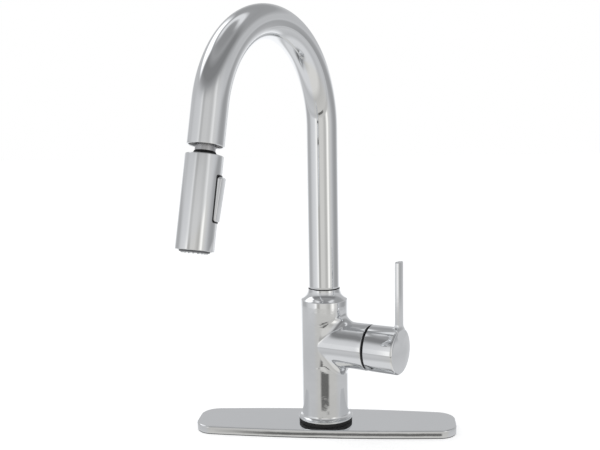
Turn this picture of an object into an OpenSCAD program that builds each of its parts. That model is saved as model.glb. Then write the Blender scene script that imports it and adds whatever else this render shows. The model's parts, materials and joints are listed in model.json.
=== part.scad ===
// Pull-down kitchen faucet with one side lever, standing on a deck plate.
// The origin is on the body's axis where the deck plate's seal meets the deck.
// +Z is up, the plate lies along X and the user stands on the -Y side.
// The body, spout and lever are turned together about Z by faucet_turn.

/* [Deck plate] */
// Length of the deck plate
plate_l = 267; // [250:1:280]
// Width of the deck plate at its middle
plate_w = 66; // [62:0.5:70]
// Height of the plate's top above the deck
plate_top = 8.5; // [7:0.5:10]
// How far each long side bows out
plate_bow = 5; // [2:0.5:6]
// Radius of the plate's corners
plate_corner_r = 19; // [15:1:22]
// Thickness of the plate's metal
plate_wall = 2.2; // [1.5:0.1:3]

/* [Body] */
// Turn of the whole faucet about its upright axis, in degrees
faucet_turn = -24.2; // [-45:0.2:45]
// Radius of the upright body
body_r = 23.75; // [23.5:0.25:26]
// Height of the edge where the body's shoulder starts
shoulder_z = 136; // [130:0.5:138]
// Height of the top of the body
body_top_z = 147; // [144:0.5:150]
// Radius of the foot flange
flange_r = 27.75; // [26:0.25:29]
// Height of the flange's lower face
flange_z = 12.5; // [12:0.5:14]

/* [Spout] */
// Outer radius of the gooseneck tube
tube_r = 15.4; // [15:0.1:16]
// Wall of the gooseneck tube
tube_wall = 1.5; // [1:0.1:2]
// Height where the bend starts
bend_z = 309; // [280:1:330]
// Radius of the bend at the middle of the tube
bend_r = 95; // [80:1:110]
// Angle of the bend in degrees
bend_angle = 167; // [155:0.5:175]
// Straight length after the bend
end_straight = 33; // [28:1:45]

/* [Spray head] */
// Radius of the spray head
head_r = 15.8; // [15.6:0.1:16.5]
// Length of the spray head's shell
head_l = 76.8; // [72:0.2:84]
// Gap between the spout's end and the head
neck_gap = 7.5; // [6:0.5:10]
// Turn of the head about its own axis, in degrees
head_turn = 12; // [-180:1:180]
// Angle that the rocker stands at, in degrees
rocker_lean = 3; // [0:0.5:4]

/* [Handle] */
// Height of the handle's axis
hub_z = 91; // [88:0.5:92]
// Radius of the handle's hub and of the branch
hub_r = 23.4; // [23:0.1:23.7]
// Distance from the body's axis to the branch's end
branch_end = 51.2; // [50.8:0.1:51.4]
// Distance from the body's axis to the hub's flat face
hub_end = 85; // [82:0.5:88]
// Height of the lever's tip
lever_top = 180; // [165:1:200]
// Width of the lever
lever_w = 10.8; // [9:0.2:13]
// Thickness of the lever
lever_t = 4.6; // [4:0.2:6]
// How far the lever tilts outward, in degrees
tilt_max = 20; // [10:1:20]

/* [Mounting] */
// Thickness of the deck that the mounting parts are drawn clamping
deck_t = 20; // [5:1:30]
// Radius of the threaded shank
shank_r = 16.5; // [16:0.1:17]
// Length of the shank below the deck
shank_drop = 62; // [55:1:70]

/* [Hidden] */
$fn = 96;

run_fit = 0.07;                 // radial clearance of turning and sliding fits
seal_h = 1;                     // thickness of the deck plate's seal
plate_hole_r = shank_r + 0.5;

// Body bores
shank_top_z = 30;
cavity_r = 18;
bearing_r = 14;
bearing_z = 107;
branch_bore_r = 18.2;
block_x = 15.5;
block_t = 3.5;

// Distances along the handle's axis, from the body's axis
cartridge_x = block_x + block_t;
cartridge_len = 26;
fixed_disc_x = cartridge_x + 3;
moving_disc_x = fixed_disc_x + 3;
carrier_x = moving_disc_x + 2.6;
carrier_t = 2.6;
guide_x = carrier_x + carrier_t + 0.3;
pivot_x = 37;
bonnet_x = cartridge_x + cartridge_len;
trim_out = 0.9;
trim_r = hub_r - 1;
hub_cavity_r = hub_r - 1.8;

// The tilting hub's rim starts where its inner edge just passes the trim ring's corner.
rim_clear = 0.3;
rim_reach = branch_end + trim_out + rim_clear - pivot_x;
hub_start = pivot_x + sqrt(rim_reach ^ 2 + (trim_r + rim_clear) ^ 2 - hub_cavity_r ^ 2);
hub_socket_x = hub_start + 13;
stem_w = 7;
stem_foot_r = 3;
stem_end_x = 74;
port_r = 3;

// Routes of the supply tubes up through the shank
hose_r = 5.5;
hose_bore_r = 3.4;
tube_ring_r = 9.9;
supply_r = 3.4;
supply_bore_r = 2.5;
supply_bend = 6;
inlet_y = 8.6;
inlet_x = sqrt(tube_ring_r ^ 2 - inlet_y ^ 2);
inlet_rise = 4;
outlet_rise = -9;
supply_foot_z = -90;
supply_bore_x = 11;              // the branch bore opens here to clear the supply tubes
hose_foot_z = -60;

// Spout's far end
lean = 180 - bend_angle;
end_y = -bend_r + bend_r * cos(bend_angle) - end_straight * sin(bend_angle);
end_z = bend_z + bend_r * sin(bend_angle) + end_straight * cos(bend_angle);
tube_bore_r = tube_r - tube_wall;
leader_top = end_straight;
leader_foot = 2;

// Spray head, measured down from the spout's end
head_top = -neck_gap;
head_foot = head_top - head_l;
shell_wall = 1.4;
stud_r = 6.5;
stud_foot = -14;
neck_r = 8.4;
neck_foot = -4.4;
slot_top = head_top - 15.5;
slot_foot = head_top - 54;
slot_z = (slot_top + slot_foot) / 2;
slot_w = 11.4;
frame_w = 0.9;
button_w = slot_w - 2 * frame_w - 0.6;
button_l = slot_top - slot_foot - 2 * frame_w - 1;
rocker_x = 12;
spool_x = 3;
spool_r = 3;
plate_gap_z = head_foot + 13;
face_r = 12.4;
face_out = 1.3;
aerator_r = 5.6;

// ---------- Placing ----------

module turned() {
    rotate([0, 0, faucet_turn]) children();
}

// Local +Z runs out along the handle's axis, local -X is up.
module at_valve() {
    turned() translate([0, 0, hub_z]) rotate([0, 90, 0]) children();
}

// Local -Z runs down the spray head, with its origin at the spout's end.
module at_head() {
    turned() translate([0, end_y, end_z]) rotate([-lean, 0, 0]) children();
}

module at_rocker() {
    at_head() rotate([0, 0, head_turn]) children();
}

module at_spout_bend() {
    translate([0, -bend_r, bend_z]) rotate([90, 0, 90]) children();
}

// ---------- Shapes used more than once ----------

module tube(r_out, r_in, z_low, z_high) {
    difference() {
        translate([0, 0, z_low]) cylinder(r = r_out, h = z_high - z_low);
        translate([0, 0, z_low - 1]) cylinder(r = r_in, h = z_high - z_low + 2);
    }
}

module o_ring(r_mid, r_cord, z) {
    rotate_extrude() translate([r_mid, z]) circle(r = r_cord, $fn = 32);
}

// n + 1 points round an arc from angle a to angle b.
function arc_points(x, y, r, a, b, n) =
    [for (i = [0 : n]) [x + r * cos(a + (b - a) * i / n), y + r * sin(a + (b - a) * i / n)]];

function without_ends(points) = [for (i = [1 : len(points) - 2]) points[i]];

// The plate's outline, moved inward by inset: round corners and bowed long sides.
module plate_outline(inset) {
    r = plate_corner_r - inset;
    x = plate_l / 2 - plate_corner_r;
    y = plate_w / 2 - plate_bow - plate_corner_r;
    side_r = x ^ 2 / (2 * plate_bow) + plate_bow / 2 + r;
    side_y = plate_w / 2 - inset - side_r;
    lean_in = asin(x / (side_r - r));
    corner_n = 12;
    side_n = 16;
    polygon(concat(
        arc_points(x, y, r, 0, 90 - lean_in, corner_n),
        without_ends(arc_points(0, side_y, side_r, 90 - lean_in, 90 + lean_in, side_n)),
        arc_points(-x, y, r, 90 + lean_in, 180, corner_n),
        arc_points(-x, -y, r, 180, 270 - lean_in, corner_n),
        without_ends(arc_points(0, -side_y, side_r, 270 - lean_in, 270 + lean_in, side_n)),
        arc_points(x, -y, r, 270 + lean_in, 360, corner_n)
    ));
}

module rounded_slot(width, length) {
    corner = 2;
    for (x = [-1, 1], y = [-1, 1])
        translate([x * (length / 2 - corner), y * (width / 2 - corner)]) circle(r = corner, $fn = 32);
    square([length, width - 2 * corner], center = true);
    square([length - 2 * corner, width], center = true);
}

// A gooseneck of one radius, from z_low up to end_back short of the spout's end.
module gooseneck(r, z_low, end_back) {
    translate([0, 0, z_low]) cylinder(r = r, h = bend_z - z_low);
    at_spout_bend() rotate_extrude(angle = bend_angle) translate([bend_r, 0]) circle(r = r);
    at_spout_bend()
        rotate([0, 0, bend_angle])
            translate([bend_r, 0, 0])
                rotate([-90, 0, 0]) cylinder(r = r, h = end_straight - end_back);
}

// A supply tube's run: up from the foot, then a quarter bend outward to the block.
module supply_run(r, x, y, top_z, low_z) {
    translate([x, y, low_z]) cylinder(r = r, h = top_z - supply_bend - low_z, $fn = 48);
    translate([x + supply_bend, y, top_z - supply_bend])
        rotate([90, 0, 0])
            rotate_extrude(angle = -90, $fn = 48) translate([-supply_bend, 0]) circle(r = r);
    translate([x + supply_bend, y, top_z])
        rotate([0, 90, 0]) cylinder(r = r, h = block_x - x - supply_bend, $fn = 48);
}

// ---------- Deck plate and mounting ----------

module deck_plate() {
    color("lightgray") difference() {
        translate([0, 0, seal_h]) linear_extrude(plate_top - seal_h) plate_outline(0);
        linear_extrude(plate_top - plate_wall) plate_outline(plate_wall);
        cylinder(r = plate_hole_r, h = 2 * plate_top);
    }
}

module deck_plate_seal() {
    color("dimgray") linear_extrude(seal_h) difference() {
        plate_outline(0.8);
        plate_outline(plate_wall + 4);
    }
}

module plate_liner() {
    floor_t = 1.6;
    rib_t = 1.6;
    rib_step = 36;
    liner_top = plate_top - plate_wall;
    color("#303234") difference() {
        union() {
            translate([0, 0, seal_h]) linear_extrude(floor_t) plate_outline(plate_wall + 0.3);
            for (i = [-3 : 3])
                if (i != 0)
                    translate([i * rib_step, 0, (seal_h + liner_top) / 2])
                        cube([rib_t, plate_w - 2 * (plate_wall + plate_bow), liner_top - seal_h], center = true);
            translate([0, 0, seal_h]) cylinder(r = 22, h = liner_top - seal_h);
        }
        cylinder(r = plate_hole_r, h = plate_top);
    }
}

module base_gasket() {
    color("#151515") tube(flange_r - 0.5, plate_hole_r, plate_top, flange_z);
}

module threaded_shank() {
    color("#b8923a") tube(shank_r, 14.3, -shank_drop, shank_top_z);
}

module rubber_washer() {
    color("#1c1c1c") tube(30, shank_r + 0.3, -deck_t - 3, -deck_t);
}

module steel_washer() {
    color("silver") tube(30, shank_r + 0.3, -deck_t - 5, -deck_t - 3);
}

nut_top = -deck_t - 8;
nut_h = 10;
screw_ring = 23.5;
module lock_nut() {
    color("#b8923a") difference() {
        union() {
            translate([0, 0, nut_top - nut_h]) cylinder(r = 21, h = nut_h);
            for (side = [0, 180])
                rotate([0, 0, side]) translate([screw_ring, 0, nut_top - nut_h]) cylinder(r = 5.5, h = nut_h);
        }
        translate([0, 0, nut_top - nut_h - 1]) cylinder(r = shank_r, h = nut_h + 2);
        for (side = [0, 180])
            rotate([0, 0, side]) translate([screw_ring, 0, nut_top - nut_h - 1]) cylinder(r = 2.5, h = nut_h + 2);
    }
}

module clamp_screws() {
    head_z = nut_top - nut_h - 6;
    color("silver") for (side = [0, 180])
        rotate([0, 0, side]) translate([screw_ring, 0, 0]) {
            translate([0, 0, head_z]) cylinder(r = 2.5, h = -deck_t - 5 - head_z);
            difference() {
                translate([0, 0, head_z - 4]) cylinder(r = 4.5, h = 4, $fn = 6);
                translate([0, 0, head_z - 5]) cube([1.2, 12, 4], center = true);
            }
        }
}

// ---------- Body ----------

// Half of the body's outer outline, in radius and height.
module body_outline() {
    lip = 1.6;
    cove = flange_r - body_r;
    top_r = tube_r + 0.9;
    rise = body_top_z - shoulder_z;
    run = body_r - top_r;
    shoulder_cove = (run ^ 2 + rise ^ 2) / (2 * run);
    translate([0, flange_z]) square([body_r, shoulder_z - flange_z]);
    translate([0, flange_z]) square([flange_r, lip]);
    difference() {
        translate([body_r - 1, flange_z + lip]) square([cove + 1, cove]);
        translate([flange_r, flange_z + lip + cove]) circle(r = cove);
    }
    difference() {
        translate([0, shoulder_z]) square([body_r, rise]);
        translate([top_r + shoulder_cove, body_top_z]) circle(r = shoulder_cove, $fn = 180);
    }
}

module faucet_body() {
    color("lightgray") turned() difference() {
        union() {
            rotate_extrude() body_outline();
            translate([0, 0, hub_z]) rotate([0, 90, 0]) cylinder(r = hub_r, h = branch_end);
        }
        translate([0, 0, flange_z - 1]) cylinder(r = shank_r, h = shank_top_z - flange_z + 1);
        translate([0, 0, shank_top_z]) cylinder(r = cavity_r, h = bearing_z - shank_top_z);
        translate([0, 0, bearing_z - 1]) cylinder(r = bearing_r, h = body_top_z - bearing_z + 2);
        translate([supply_bore_x, 0, hub_z]) rotate([0, 90, 0]) cylinder(r = branch_bore_r, h = branch_end);
        translate([branch_end - 1, 0, hub_z]) rotate([0, 90, 0]) cylinder(r = 20.6, h = 2);
    }
}

module inlet_tubes() {
    color("#b87333") turned() for (side = [-1, 1]) difference() {
        supply_run(supply_r, inlet_x, side * inlet_y, hub_z + inlet_rise, supply_foot_z);
        supply_run(supply_bore_r, inlet_x, side * inlet_y, hub_z + inlet_rise, supply_foot_z - 1);
    }
}

module outlet_tube() {
    outlet_x = block_x - supply_bend - 0.4;
    color("#b87333") turned() difference() {
        supply_run(supply_r, outlet_x, 0, hub_z + outlet_rise, supply_foot_z);
        supply_run(supply_bore_r, outlet_x, 0, hub_z + outlet_rise, supply_foot_z - 1);
    }
}

// ---------- Valve ----------

module port_holes(r, z_low, z_high) {
    for (side = [-1, 1])
        translate([-inlet_rise, side * inlet_y, z_low]) cylinder(r = r, h = z_high - z_low, $fn = 48);
    translate([-outlet_rise, 0, z_low]) cylinder(r = r, h = z_high - z_low, $fn = 48);
}

module waterway_block() {
    color("#b8923a") at_valve() difference() {
        translate([0, 0, block_x]) cylinder(r = branch_bore_r, h = block_t);
        port_holes(port_r, block_x - 1, block_x + block_t + 1);
    }
}

module port_seals() {
    color("#202020") at_valve() difference() {
        port_holes(port_r + 1.2, cartridge_x, cartridge_x + 1.2);
        port_holes(port_r, cartridge_x - 1, cartridge_x + 2);
    }
}

module cartridge_housing() {
    color("#d8d4c4") at_valve() difference() {
        translate([0, 0, cartridge_x]) cylinder(r = branch_bore_r - 0.6, h = cartridge_len);
        port_holes(port_r + 1.2, cartridge_x - 1, cartridge_x + 1.2);
        port_holes(port_r, cartridge_x, fixed_disc_x + 1);
        translate([0, 0, fixed_disc_x]) cylinder(r = 15.5, h = cartridge_len);
    }
}

module fixed_disc() {
    color("white") at_valve() difference() {
        translate([0, 0, fixed_disc_x]) cylinder(r = 15.4, h = moving_disc_x - fixed_disc_x);
        port_holes(port_r, fixed_disc_x - 1, moving_disc_x + 1);
    }
}

module moving_disc() {
    color("white") at_valve() difference() {
        translate([0, 0, moving_disc_x]) cylinder(r = 12.8, h = carrier_x - moving_disc_x);
        translate([1, 0, moving_disc_x - 1]) cylinder(r = 8, h = 2.4);
    }
}

module disc_carrier() {
    color("#5a7fa8") at_valve() difference() {
        translate([0, 0, carrier_x]) cylinder(r = 12.8, h = carrier_t);
        translate([0, 0, carrier_x + 0.8]) cylinder(r = stem_foot_r + 0.3, h = carrier_t);
    }
}

module cartridge_guide() {
    flange_h = bonnet_x - 0.2 - guide_x;
    color("#5a7fa8") at_valve() difference() {
        union() {
            translate([0, 0, guide_x]) cylinder(r = 15.5 - run_fit, h = flange_h);
            translate([0, 0, guide_x]) cylinder(r = 11.5, h = branch_end - guide_x);
        }
        translate([-5.5, -4.2, guide_x - 1]) cube([15.5, 8.4, 30]);
        translate([0, 15, pivot_x]) rotate([90, 0, 0]) cylinder(r = 1.5, h = 30, $fn = 48);
    }
}

module stem_pin() {
    color("silver") at_valve()
        translate([0, 9.5, pivot_x]) rotate([90, 0, 0]) cylinder(r = 1.5, h = 19, $fn = 48);
}

module cartridge_stem() {
    color("#b0b4b8") at_valve() difference() {
        union() {
            translate([0, 0, carrier_x + 1 + stem_foot_r]) sphere(r = stem_foot_r, $fn = 48);
            translate([0, 0, carrier_x + 3]) cylinder(r = 2.4, h = pivot_x - carrier_x - 3);
            translate([0, 0, pivot_x - 0.5]) rotate([90, 0, 0]) cylinder(r = 3.8, h = 7.6, center = true, $fn = 48);
            translate([-stem_w / 2, -stem_w / 2, pivot_x]) cube([stem_w, stem_w, stem_end_x - pivot_x]);
        }
        translate([0, 6, pivot_x]) rotate([90, 0, 0]) cylinder(r = 1.5 + run_fit, h = 12, $fn = 48);
    }
}

module bonnet_nut() {
    color("#b8923a") at_valve() difference() {
        tube(branch_bore_r, 11.5 + run_fit + 0.3, bonnet_x, branch_end - 1);
        for (side = [0, 90])
            rotate([0, 0, side]) translate([0, 0, branch_end - 1.6]) cube([40, 3, 2.4], center = true);
    }
}

module trim_ring() {
    color("#151515") at_valve() {
        tube(20.6, 17, branch_end - 1, branch_end);
        tube(trim_r, 17, branch_end, branch_end + trim_out);
    }
}

// ---------- Handle ----------

// The lever seen edge-on, with its concave root on the hub. X runs up the lever.
module lever_outline() {
    root = 6;
    tip = lever_top - hub_z;
    sink = 1.2;
    root_x = hub_r - sink;
    square([tip, lever_t]);
    difference() {
        translate([root_x - 1, lever_t - 0.5]) square([root + 1, root + 0.5]);
        translate([root_x + root, lever_t + root]) circle(r = root, $fn = 64);
    }
}

module handle() {
    chamfer = 5.5;
    color("lightgray") at_valve() difference() {
        union() {
            difference() {
                translate([0, 0, hub_start]) cylinder(r = hub_r, h = hub_end - hub_start);
                translate([0, 0, hub_start - 1]) cylinder(r = hub_cavity_r, h = hub_socket_x - hub_start + 1);
            }
            translate([0, 0, hub_socket_x - 4]) cylinder(r = 8, h = 6);
            translate([0, lever_w / 2, hub_end])
                rotate([90, 0, 0]) mirror([1, 0, 0]) mirror([0, 1, 0]) linear_extrude(lever_w) lever_outline();
        }
        // Relief under the hub, which sinks past the branch as the lever tilts.
        translate([hub_r, 0, hub_start + chamfer])
            rotate([0, 45, 0]) translate([0, -hub_r, -20]) cube([20, 2 * hub_r, 40]);
        translate([-stem_w / 2 - 0.1, -stem_w / 2 - 0.1, pivot_x])
            cube([stem_w + 0.2, stem_w + 0.2, stem_end_x - pivot_x + 0.5]);
        translate([0, 0, 71]) rotate([0, 90, 0]) cylinder(r = 2.5, h = 2 * hub_r, $fn = 48);
    }
}

module handle_set_screw() {
    screw_l = 8;
    color("#303030") at_valve() translate([stem_w / 2 + 0.1, 0, 71]) rotate([0, 90, 0]) difference() {
        cylinder(r = 2.5, h = screw_l, $fn = 48);
        translate([0, 0, screw_l - 2.5]) cylinder(r = 1.4, h = 3, $fn = 6);
    }
}

// ---------- Spout ----------

module spout_wear_ring() {
    color("#202020") tube(tube_r + 0.4, bearing_r + 0.2, body_top_z, body_top_z + 0.5);
}

module spout_tube() {
    color("lightgray") turned() difference() {
        gooseneck(tube_r, body_top_z + 0.5, 0);
        gooseneck(tube_bore_r, body_top_z - 1, -1);
    }
}

journal_foot = bearing_z - 4;
groove_z = [118, 138];
module spout_base_fitting() {
    color("#b8923a") difference() {
        union() {
            translate([0, 0, journal_foot]) cylinder(r = bearing_r - run_fit, h = body_top_z + 0.5 - journal_foot);
            translate([0, 0, body_top_z + 0.5]) cylinder(r = tube_bore_r, h = 15);
        }
        translate([0, 0, journal_foot - 1]) cylinder(r = 8.5, h = 100);
        for (z = groove_z) tube(bearing_r + 1, 12, z - 1.5, z + 1.5);
        tube(bearing_r + 1, 12.6, bearing_z - 2.2, bearing_z - 0.6);
    }
}

module spout_seals() {
    color("#151515") for (z = groove_z) o_ring(12.95, 0.95, z);
}

module spout_clip() {
    color("silver") difference() {
        tube(15, 12.6, bearing_z - 2.2, bearing_z - 0.6);
        translate([0, -4, bearing_z - 5]) cube([20, 8, 6]);
    }
}

module docking_collar() {
    color("#2b2d2f") at_head() tube(tube_bore_r, neck_r + 0.5, 0.8, 20);
}

module spray_hose() {
    color("#3a3c3e") turned() difference() {
        gooseneck(hose_r, hose_foot_z, leader_top - 0.2);
        gooseneck(hose_bore_r, hose_foot_z - 1, leader_top - 1);
    }
}

module hose_connector() {
    color("#b8923a") difference() {
        tube(hose_r, 3.2, hose_foot_z - 24, hose_foot_z);
        for (z = [hose_foot_z - 20, hose_foot_z - 14]) tube(7, 4.7, z, z + 2.5);
    }
}

module hose_leader() {
    color("#3a3c3e") at_head() tube(hose_r, hose_bore_r, leader_foot, leader_top - 0.4);
}

// ---------- Spray head ----------

module hose_nut() {
    color("silver") at_head() difference() {
        union() {
            translate([0, 0, neck_foot]) cylinder(r = neck_r, h = 14 - neck_foot);
            translate([0, 0, stud_foot]) cylinder(r = stud_r, h = neck_foot - stud_foot);
        }
        translate([0, 0, leader_foot - 0.3]) cylinder(r = hose_r + 0.25, h = 20);
        translate([0, 0, stud_foot - 1]) cylinder(r = 3.2, h = 30);
    }
}

module neck_ring() {
    color("#151515") at_head() difference() {
        rotate_extrude() polygon([
            [stud_r + run_fit, head_top],
            [9.7, head_top],
            [9.7, head_top + 1],
            [8.7, neck_foot - 0.1],
            [stud_r + run_fit, neck_foot - 0.1]
        ]);
    }
}

module head_shell() {
    color("lightgray") at_rocker() difference() {
        translate([0, 0, head_foot]) cylinder(r = head_r, h = head_l);
        translate([0, 0, head_foot - 1]) cylinder(r = head_r - shell_wall, h = head_l - 1);
        translate([0, 0, head_top - 5]) cylinder(r = stud_r + 0.6, h = 10);
        translate([5, 0, slot_z]) rotate([0, 90, 0]) linear_extrude(20) rounded_slot(slot_w, slot_top - slot_foot);
    }
}

module head_core() {
    core_r = head_r - shell_wall;
    color("#4a4d50") at_rocker() difference() {
        translate([0, 0, plate_gap_z]) cylinder(r = core_r, h = head_top - 2 - plate_gap_z);
        translate([0, 0, head_top - 22]) cylinder(r = 6.8, h = 30);
        translate([spool_x, 0, plate_gap_z - 1]) cylinder(r = spool_r + run_fit, h = slot_top - plate_gap_z - 6);
        translate([7.4, 0, slot_z])
            rotate([0, 90, 0]) linear_extrude(20) rounded_slot(slot_w, slot_top - slot_foot);
        translate([0, -2, slot_z - 3]) cube([12, 4, 6]);
        translate([rocker_x, 7.6, slot_z]) rotate([90, 0, 0]) cylinder(r = 1, h = 15.2, $fn = 48);
    }
}

module check_valve() {
    valve_top = head_top - 10;
    color("#c8ccd0") at_rocker() difference() {
        tube(6.8, 3.4, valve_top - 10, valve_top);
        tube(8, 5.9, valve_top - 6, valve_top - 4);
    }
}

module rocker_surround() {
    ring_l = slot_top - slot_foot;
    color("#101010") at_rocker() intersection() {
        difference() {
            translate([9, 0, slot_z]) rotate([0, 90, 0]) linear_extrude(9) rounded_slot(slot_w, ring_l);
            translate([8, 0, slot_z])
                rotate([0, 90, 0]) linear_extrude(20) rounded_slot(slot_w - 2 * frame_w, ring_l - 2 * frame_w);
            translate([rocker_x, 7.6, slot_z]) rotate([90, 0, 0]) cylinder(r = 1, h = 15.2, $fn = 48);
        }
        translate([0, 0, head_foot]) cylinder(r = head_r + 0.35, h = head_l);
    }
}

module rocker_button() {
    face_x = head_r + 2.3;
    color("silver") at_rocker()
        translate([rocker_x, 0, slot_z]) rotate([0, rocker_lean, 0]) translate([-rocker_x, 0, -slot_z])
            difference() {
                union() {
                    translate([rocker_x, 0, slot_z])
                        rotate([0, 90, 0])
                            linear_extrude(face_x - rocker_x) rounded_slot(button_w, button_l);
                    translate([rocker_x, 0, slot_z]) rotate([90, 0, 0])
                        cylinder(r = 2.6, h = button_w - 1, center = true, $fn = 48);
                    translate([spool_x + 2.2, -1, slot_z - 1]) cube([rocker_x - spool_x - 2, 2, 2]);
                }
                translate([rocker_x, 7, slot_z]) rotate([90, 0, 0]) cylinder(r = 1 + run_fit, h = 14, $fn = 48);
            }
}

module rocker_pin() {
    color("gray") at_rocker()
        translate([rocker_x, 6.1, slot_z]) rotate([90, 0, 0]) cylinder(r = 1, h = 12.2, $fn = 48);
}

module diverter_spool() {
    spool_foot = plate_gap_z + 3;
    spool_top = slot_top - 9;
    color("#e0ddd0") at_rocker() difference() {
        translate([spool_x, 0, spool_foot]) cylinder(r = spool_r, h = spool_top - spool_foot);
        translate([spool_x + 1.8, -5, slot_z - 1.8]) cube([5, 10, 3.6]);
    }
}

module diverter_plate() {
    color("#6a6d70") at_rocker() difference() {
        translate([0, 0, head_foot + 8]) cylinder(r = head_r - shell_wall, h = plate_gap_z - head_foot - 8);
        translate([spool_x, 0, head_foot]) cylinder(r = 2, h = 20);
        for (i = [0 : 7])
            rotate([0, 0, 22.5 + i * 45]) translate([10, 0, head_foot]) cylinder(r = 1.5, h = 20, $fn = 32);
    }
}

module spray_face() {
    color("#55585b") at_rocker() difference() {
        union() {
            translate([0, 0, head_foot + 0.8]) cylinder(r = head_r - shell_wall, h = 7.2);
            translate([0, 0, head_foot - face_out]) cylinder(r = face_r, h = 3);
        }
        translate([0, 0, head_foot + 2]) cylinder(r = 11.6, h = 8);
        translate([0, 0, head_foot - 3]) cylinder(r = aerator_r, h = 8);
    }
}

module spray_nozzles() {
    color("#c9cbcd") at_rocker() for (ring = [[8, 12], [10.4, 18]], i = [0 : ring[1] - 1])
        rotate([0, 0, i * 360 / ring[1]])
            translate([ring[0], 0, head_foot - face_out - 0.8]) cylinder(r = 0.7, h = 0.8, $fn = 16);
}

module aerator() {
    color("#8a8d90") at_rocker() difference() {
        translate([0, 0, head_foot - face_out + 0.3]) cylinder(r = aerator_r, h = 8.2);
        translate([0, 0, head_foot - face_out - 1]) cylinder(r = aerator_r - 1, h = 3);
        for (x = [-2 : 2], y = [-2 : 2])
            if (x * x + y * y < 6)
                translate([1.7 * x, 1.7 * y, head_foot - 3]) cylinder(r = 0.55, h = 14, $fn = 16);
    }
}

deck_plate();
deck_plate_seal();
plate_liner();
base_gasket();
faucet_body();
threaded_shank();
rubber_washer();
steel_washer();
lock_nut();
clamp_screws();
waterway_block();
inlet_tubes();
outlet_tube();
port_seals();
cartridge_housing();
fixed_disc();
moving_disc();
disc_carrier();
cartridge_guide();
stem_pin();
cartridge_stem();
bonnet_nut();
trim_ring();
handle();
handle_set_screw();
spout_wear_ring();
spout_tube();
spout_base_fitting();
spout_seals();
spout_clip();
docking_collar();
spray_hose();
hose_connector();
hose_leader();
hose_nut();
neck_ring();
head_shell();
head_core();
check_valve();
rocker_surround();
rocker_button();
rocker_pin();
diverter_spool();
diverter_plate();
spray_face();
spray_nozzles();
aerator();
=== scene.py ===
# A pull-down kitchen faucet with a deck plate, a gooseneck spout, a side lever and a spray head.
import json
import math
import bpy
import bmesh
import numpy as np
from mathutils import Matrix, Vector

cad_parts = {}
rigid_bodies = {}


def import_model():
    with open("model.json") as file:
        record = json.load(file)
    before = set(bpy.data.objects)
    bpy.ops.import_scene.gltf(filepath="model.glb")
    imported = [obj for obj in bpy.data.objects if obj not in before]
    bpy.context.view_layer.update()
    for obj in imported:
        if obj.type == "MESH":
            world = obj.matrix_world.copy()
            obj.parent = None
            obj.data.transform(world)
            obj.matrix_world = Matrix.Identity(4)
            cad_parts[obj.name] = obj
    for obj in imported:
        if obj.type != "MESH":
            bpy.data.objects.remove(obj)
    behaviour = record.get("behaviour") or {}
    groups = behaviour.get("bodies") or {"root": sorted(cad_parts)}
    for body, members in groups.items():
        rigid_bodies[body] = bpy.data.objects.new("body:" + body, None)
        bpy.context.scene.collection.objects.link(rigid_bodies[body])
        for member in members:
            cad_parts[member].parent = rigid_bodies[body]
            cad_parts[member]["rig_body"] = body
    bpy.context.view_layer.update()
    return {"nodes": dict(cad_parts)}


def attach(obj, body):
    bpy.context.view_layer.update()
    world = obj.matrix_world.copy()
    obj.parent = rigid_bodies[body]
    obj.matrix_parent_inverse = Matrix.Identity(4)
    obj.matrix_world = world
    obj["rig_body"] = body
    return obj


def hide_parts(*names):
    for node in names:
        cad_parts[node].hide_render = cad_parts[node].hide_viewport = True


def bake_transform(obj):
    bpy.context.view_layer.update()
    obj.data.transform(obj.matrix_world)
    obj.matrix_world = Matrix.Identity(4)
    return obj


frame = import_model()
nodes = frame["nodes"]

# ---------- Finishes ----------
# One material for each finish in the record: polished chrome on the outside, then brass, steel,
# copper, ceramic, rubber and moulded plastics inside.


class Num:
    """A shader value that takes part in ordinary arithmetic."""

    def __init__(self, tree, socket):
        self.tree = tree
        self.socket = socket

    def op(self, kind, *others):
        node = self.tree.nodes.new("ShaderNodeMath")
        node.operation = kind
        for i, value in enumerate((self,) + others):
            if isinstance(value, Num):
                self.tree.links.new(value.socket, node.inputs[i])
            else:
                node.inputs[i].default_value = value
        return Num(self.tree, node.outputs[0])

    def __add__(self, other):
        return self.op("ADD", other)

    __radd__ = __add__

    def __mul__(self, other):
        return self.op("MULTIPLY", other)

    __rmul__ = __mul__

    def __sub__(self, other):
        return self.op("SUBTRACT", other)

    def __rsub__(self, other):
        return (self * -1) + other

    def __truediv__(self, other):
        return self.op("DIVIDE", other)

    def band(self, low, high):
        """0 at low and below, 1 at high and above, smooth between."""
        t = ((self - low) / (high - low)).op("MINIMUM", 1).op("MAXIMUM", 0)
        return t * t * (3 - 2 * t)

    def bump_of(self, centre, width):
        """1 at centre, falling to 0 a width away on both sides."""
        return 1 - (self - centre).op("ABSOLUTE").band(width * 0.5, width)


class Shader:
    """A node tree to which nodes are added by type, settings and socket values."""

    def __init__(self, tree):
        self.tree = tree
        tree.nodes.clear()

    def add(self, kind, settings=None, **sockets):
        node = self.tree.nodes.new(kind)
        for key, value in (settings or {}).items():
            setattr(node, key, value)
        for key, value in sockets.items():
            numbered = key[0] == "i" and key[1:].isdigit()
            socket = node.inputs[int(key[1:]) if numbered else key.replace("_", " ")]
            if isinstance(value, Num):
                self.tree.links.new(value.socket, socket)
            elif isinstance(value, bpy.types.NodeSocket):
                self.tree.links.new(value, socket)
            else:
                socket.default_value = value
        return node


def mottled(shader, coordinate, scale, detail=2.0):
    """Soft noise from 0 to 1 at that many features a metre."""
    noise = shader.add("ShaderNodeTexNoise", Vector=coordinate, Scale=scale, Detail=detail, Roughness=0.5)
    return Num(shader.tree, noise.outputs["Fac"])


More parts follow.
